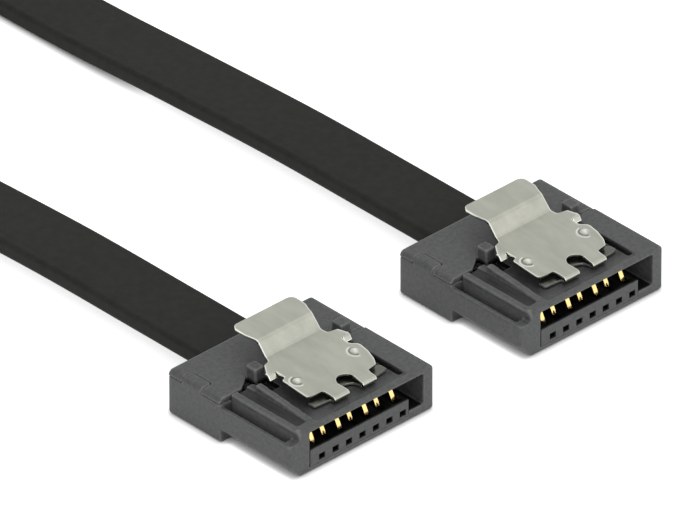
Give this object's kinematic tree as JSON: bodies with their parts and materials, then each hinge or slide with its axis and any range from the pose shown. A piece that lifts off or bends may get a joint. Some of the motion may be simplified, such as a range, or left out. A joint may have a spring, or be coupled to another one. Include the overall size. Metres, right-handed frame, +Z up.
{
  "type": "sata data cable",
  "caption": "Flat serial data cable with an L-keyed plug and a sprung metal latch at each end, laid in a loop with the plugs side by side.",
  "frame": {"origin": "on the ground, midway between the two plugs and midway along them", "axes": "+X along the contact rows, from the first plug to the second; +Y from the plugs' fronts to the cable; +Z up, towards the latches"},
  "size_m": [0.0356, 0.1543, 0.0057],
  "materials": {
    "plug_plastic": "moulded, dark grey",
    "cable_jacket": "extruded, black, matt",
    "latch_steel": "satin nickel on spring steel",
    "contact_gold": "gold plated copper alloy",
    "comb_plastic": "moulded",
    "core_insulation": "wire insulation",
    "drain_tin": "tinned bare wire"
  },
  "bodies": {
    "cable_assembly": {"housing_a": "plug_plastic", "contact_block_a": "plug_plastic", "rear_cover_a": "plug_plastic", "latch_leaf_a": "latch_steel", "contact_a_1": "contact_gold", "contact_a_2": "contact_gold", "contact_a_3": "contact_gold", "contact_a_4": "contact_gold", "contact_a_5": "contact_gold", "contact_a_6": "contact_gold", "contact_a_7": "contact_gold", "wire_comb_a": "comb_plastic", "drain_a_1": "drain_tin", "core_a_2": "core_insulation", "core_a_3": "core_insulation", "drain_a_4": "drain_tin", "core_a_5": "core_insulation", "core_a_6": "core_insulation", "drain_a_7": "drain_tin", "housing_b": "plug_plastic", "contact_block_b": "plug_plastic", "rear_cover_b": "plug_plastic", "latch_leaf_b": "latch_steel", "contact_b_1": "contact_gold", "contact_b_2": "contact_gold", "contact_b_3": "contact_gold", "contact_b_4": "contact_gold", "contact_b_5": "contact_gold", "contact_b_6": "contact_gold", "contact_b_7": "contact_gold", "wire_comb_b": "comb_plastic", "drain_b_1": "drain_tin", "core_b_2": "core_insulation", "core_b_3": "core_insulation", "drain_b_4": "drain_tin", "core_b_5": "core_insulation", "core_b_6": "core_insulation", "drain_b_7": "drain_tin", "cable": "cable_jacket"},
    "latch_a": {"latch_a": "latch_steel"},
    "latch_b": {"latch_b": "latch_steel"}
  },
  "joints": [
    {"name": "latch_press_a", "type": "hinge", "parent": "cable_assembly", "child": "latch_a", "pos_m": [-0.01035, -0.0047, 0.00376], "axis": [1, 0, 0], "range_deg": [-5, 0], "stiffness_Nm_per_rad": 0.1},
    {"name": "latch_press_b", "type": "hinge", "parent": "cable_assembly", "child": "latch_b", "pos_m": [0.01155, -0.0047, 0.00376], "axis": [1, 0, 0], "range_deg": [-5, 0], "stiffness_Nm_per_rad": 0.1}
  ]
}
